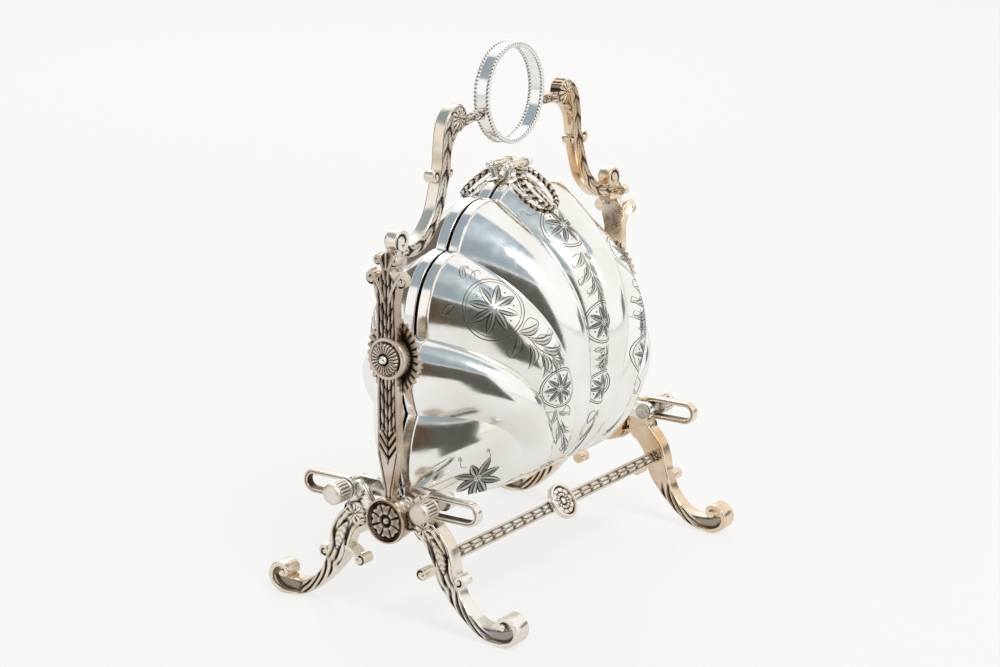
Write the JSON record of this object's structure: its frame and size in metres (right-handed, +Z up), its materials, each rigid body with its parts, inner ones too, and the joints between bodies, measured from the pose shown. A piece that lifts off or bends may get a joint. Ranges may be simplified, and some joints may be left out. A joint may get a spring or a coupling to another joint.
{
  "type": "folding biscuit box",
  "caption": "Silver-plated folding biscuit box: lobed half shells that slide and tilt open between scrolled end frames, with pierced inner grilles and a ring handle.",
  "frame": {"origin": "middle of the footprint, on the surface the feet stand on", "axes": "+X along the box towards the right end frame, +Y across it towards the back half, +Z up"},
  "size_m": [0.2302, 0.145, 0.267],
  "materials": {
    "polished_silver": "polished silver plate",
    "cast_silver": "cast and chased silver plate, darkened in its recesses",
    "plain_metal": "plain turned metal",
    "frosted_silver": "silver plate with a frosted end"
  },
  "bodies": {
    "frame": {"leg_frame_left": "cast_silver", "upright_left": "cast_silver", "gadroon_disc_left": "cast_silver", "upper_rosette_left": "cast_silver", "bead_pin_left": "cast_silver", "lower_rosette_left": "cast_silver", "frame_nut_left": "plain_metal", "handle_arm_left": "cast_silver", "seat_screw_left": "plain_metal", "leg_frame_right": "cast_silver", "upright_right": "cast_silver", "gadroon_disc_right": "cast_silver", "upper_rosette_right": "cast_silver", "bead_pin_right": "cast_silver", "lower_rosette_right": "cast_silver", "frame_nut_right": "plain_metal", "handle_arm_right": "cast_silver", "seat_screw_right": "plain_metal", "handle_ring": "cast_silver", "stretcher_front": "cast_silver", "stretcher_rosette_front": "cast_silver", "stretcher_back": "cast_silver", "stretcher_rosette_back": "cast_silver"},
    "front_slider": {"hinge_pin_front_left": "plain_metal", "hinge_pin_front_right": "plain_metal"},
    "front_shell": {"shell_front": "polished_silver", "shell_lug_front_left": "polished_silver", "shell_lug_front_right": "polished_silver", "pull_bracket_front": "polished_silver", "pull_pin_front": "polished_silver", "grille_pin_front_left": "plain_metal", "grille_pin_front_right": "plain_metal"},
    "front_pull": {"ring_pull_front": "cast_silver"},
    "front_grille": {"grille_front": "polished_silver", "grille_knob_front": "polished_silver"},
    "front_left_knob": {"knob_front_left": "frosted_silver"},
    "front_right_knob": {"knob_front_right": "frosted_silver"},
    "back_slider": {"hinge_pin_back_left": "plain_metal", "hinge_pin_back_right": "plain_metal"},
    "back_shell": {"shell_back": "polished_silver", "shell_lug_back_left": "polished_silver", "shell_lug_back_right": "polished_silver", "pull_bracket_back": "polished_silver", "pull_pin_back": "polished_silver", "grille_pin_back_left": "plain_metal", "grille_pin_back_right": "plain_metal"},
    "back_pull": {"ring_pull_back": "cast_silver"},
    "back_grille": {"grille_back": "polished_silver", "grille_knob_back": "polished_silver"},
    "back_left_knob": {"knob_back_left": "frosted_silver"},
    "back_right_knob": {"knob_back_right": "frosted_silver"}
  },
  "joints": [
    {"name": "front_slide", "type": "slide", "parent": "frame", "child": "front_slider", "axis": [0, -1, 0], "range_m": [0, 0.02]},
    {"name": "front_tilt", "type": "hinge", "parent": "front_slider", "child": "front_shell", "pos_m": [0, -0.0255, 0.0615], "axis": [1, 0, 0], "range_deg": [0, 95]},
    {"name": "front_pull_swing", "type": "hinge", "parent": "front_shell", "child": "front_pull", "pos_m": [0, -0.0048, 0.2067], "axis": [-1, 0, 0], "range_deg": [0, 110]},
    {"name": "front_grille_swing", "type": "hinge", "parent": "front_shell", "child": "front_grille", "pos_m": [0, -0.0054, 0.0616], "axis": [-1, 0, 0], "range_deg": [0, 60]},
    {"name": "front_left_knob_turn", "type": "hinge", "parent": "front_slider", "child": "front_left_knob", "pos_m": [-0.109, -0.0255, 0.0615], "axis": [-1, 0, 0], "continuous": true},
    {"name": "front_right_knob_turn", "type": "hinge", "parent": "front_slider", "child": "front_right_knob", "pos_m": [0.109, -0.0255, 0.0615], "axis": [1, 0, 0], "continuous": true},
    {"name": "back_slide", "type": "slide", "parent": "frame", "child": "back_slider", "axis": [0, 1, 0], "range_m": [0, 0.02]},
    {"name": "back_tilt", "type": "hinge", "parent": "back_slider", "child": "back_shell", "pos_m": [0, 0.0255, 0.0615], "axis": [-1, 0, 0], "range_deg": [0, 95]},
    {"name": "back_pull_swing", "type": "hinge", "parent": "back_shell", "child": "back_pull", "pos_m": [0, 0.0048, 0.2067], "axis": [1, 0, 0], "range_deg": [0, 110]},
    {"name": "back_grille_swing", "type": "hinge", "parent": "back_shell", "child": "back_grille", "pos_m": [0, 0.0054, 0.0616], "axis": [1, 0, 0], "range_deg": [0, 60]},
    {"name": "back_left_knob_turn", "type": "hinge", "parent": "back_slider", "child": "back_left_knob", "pos_m": [-0.109, 0.0255, 0.0615], "axis": [-1, 0, 0], "continuous": true},
    {"name": "back_right_knob_turn", "type": "hinge", "parent": "back_slider", "child": "back_right_knob", "pos_m": [0.109, 0.0255, 0.0615], "axis": [1, 0, 0], "continuous": true}
  ],
  "couplings": [
    {"joint": "front_grille_swing", "follows": "front_tilt", "ratio": 0.6},
    {"joint": "back_grille_swing", "follows": "back_tilt", "ratio": 0.6}
  ]
}
